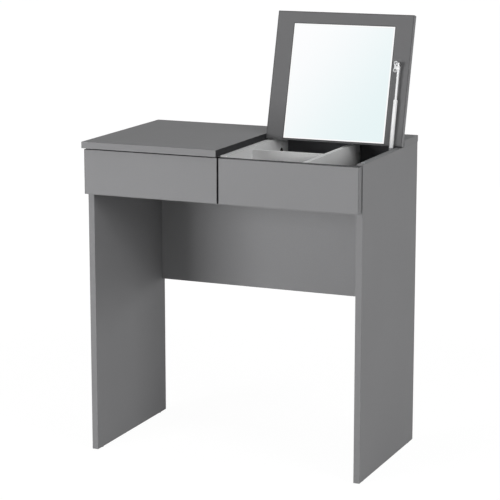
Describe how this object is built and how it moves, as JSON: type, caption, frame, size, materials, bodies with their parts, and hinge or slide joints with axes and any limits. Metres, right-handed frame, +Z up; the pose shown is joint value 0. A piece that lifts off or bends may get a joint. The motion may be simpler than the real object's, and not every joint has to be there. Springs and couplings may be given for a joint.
{
  "type": "flip top vanity table",
  "caption": "Small dressing table with a drawer on the left and a flip-up mirror lid over a divided compartment on the right.",
  "frame": {"origin": "on the floor under the middle of the table top", "axes": "+X to the sitter's right, +Y to the wall behind, +Z up"},
  "size_m": [0.7, 0.42, 1.0632],
  "materials": {
    "grey_foil": "warm grey melamine foil with a fine speckle",
    "pale_foil": "pale grey melamine foil",
    "mirror_silver": "polished silvered glass",
    "zinc": "zinc plated steel",
    "white_enamel": "pale silver enamel",
    "grey_plastic": "dark moulded plastic",
    "clear_pad": "soft clear bumper",
    "white_roller": "white moulded plastic",
    "tape": "foam mounting tape",
    "beech": "plain fluted beech"
  },
  "bodies": {
    "table": {"left_leg": "grey_foil", "right_leg": "grey_foil", "leg_glides": "grey_plastic", "back_panel": "grey_foil", "centre_partition": "grey_foil", "drawer_bay_rail": "grey_foil", "fixed_top": "grey_foil", "rear_top_strip": "grey_foil", "fixed_front": "grey_foil", "front_spacers": "clear_pad", "compartment_floor": "pale_foil", "compartment_side": "pale_foil", "long_divider": "pale_foil", "cross_divider": "pale_foil", "carcass_cams": "zinc", "carcass_bolts": "zinc", "carcass_dowels": "beech", "carcass_screws": "zinc", "left_cabinet_runner": "white_enamel", "right_cabinet_runner": "white_enamel", "hinge_fixed_leaves": "zinc", "hinge_pins": "zinc", "stay_foot": "zinc", "fitting_screws": "zinc", "lid_bumpers": "clear_pad"},
    "drawer": {"drawer_front": "grey_foil", "drawer_left_side": "pale_foil", "drawer_right_side": "pale_foil", "drawer_back": "pale_foil", "drawer_bottom": "pale_foil", "left_drawer_runner": "white_enamel", "right_drawer_runner": "white_enamel", "drawer_cams": "zinc", "drawer_bolts": "zinc", "drawer_screws": "zinc", "drawer_bumpers": "clear_pad"},
    "lid": {"lid_board": "grey_foil", "mirror_glass": "mirror_silver", "mirror_tape": "tape", "hinge_moving_leaves": "zinc", "stay_bracket": "zinc", "lid_screws": "zinc"},
    "rod": {"stay_rod": "white_enamel"},
    "tube": {"stay_tube": "white_enamel", "stay_gland": "grey_plastic"},
    "left_front_wheel": {"left_front_roller": "white_roller"},
    "right_front_wheel": {"right_front_roller": "white_roller"},
    "left_rear_wheel": {"left_rear_roller": "white_roller"},
    "right_rear_wheel": {"right_rear_roller": "white_roller"}
  },
  "joints": [
    {"name": "drawer_slide", "type": "slide", "parent": "table", "child": "drawer", "axis": [0, -1, 0], "range_m": [0, 0.24]},
    {"name": "lid_hinge", "type": "hinge", "parent": "table", "child": "lid", "pos_m": [0.1755, 0.097, 0.7645], "axis": [1, 0, 0], "range_deg": [0, 105]},
    {"name": "stay_swing", "type": "hinge", "parent": "lid", "child": "rod", "pos_m": [0.3265, 0.12756, 0.94887], "axis": [-1, 0, 0], "range_deg": [0, 2.99]},
    {"name": "stay_slide", "type": "slide", "parent": "rod", "child": "tube", "axis": [0, 0.2424, 0.9702], "range_m": [0, 0.05018]},
    {"name": "left_front_turn", "type": "hinge", "parent": "table", "child": "left_front_wheel", "pos_m": [-0.3294, -0.1658, 0.6714], "axis": [1, 0, 0], "continuous": true},
    {"name": "right_front_turn", "type": "hinge", "parent": "table", "child": "right_front_wheel", "pos_m": [-0.0201, -0.1658, 0.6714], "axis": [1, 0, 0], "continuous": true},
    {"name": "left_rear_turn", "type": "hinge", "parent": "drawer", "child": "left_rear_wheel", "pos_m": [-0.3294, 0.1182, 0.6714], "axis": [1, 0, 0], "continuous": true},
    {"name": "right_rear_turn", "type": "hinge", "parent": "drawer", "child": "right_rear_wheel", "pos_m": [-0.0201, 0.1182, 0.6714], "axis": [1, 0, 0], "continuous": true}
  ],
  "couplings": [
    {"joint": "stay_swing", "follows": "lid_hinge", "ratio": 0.028491},
    {"joint": "stay_slide", "follows": "lid_hinge", "m_per_rad": 0.027379}
  ]
}
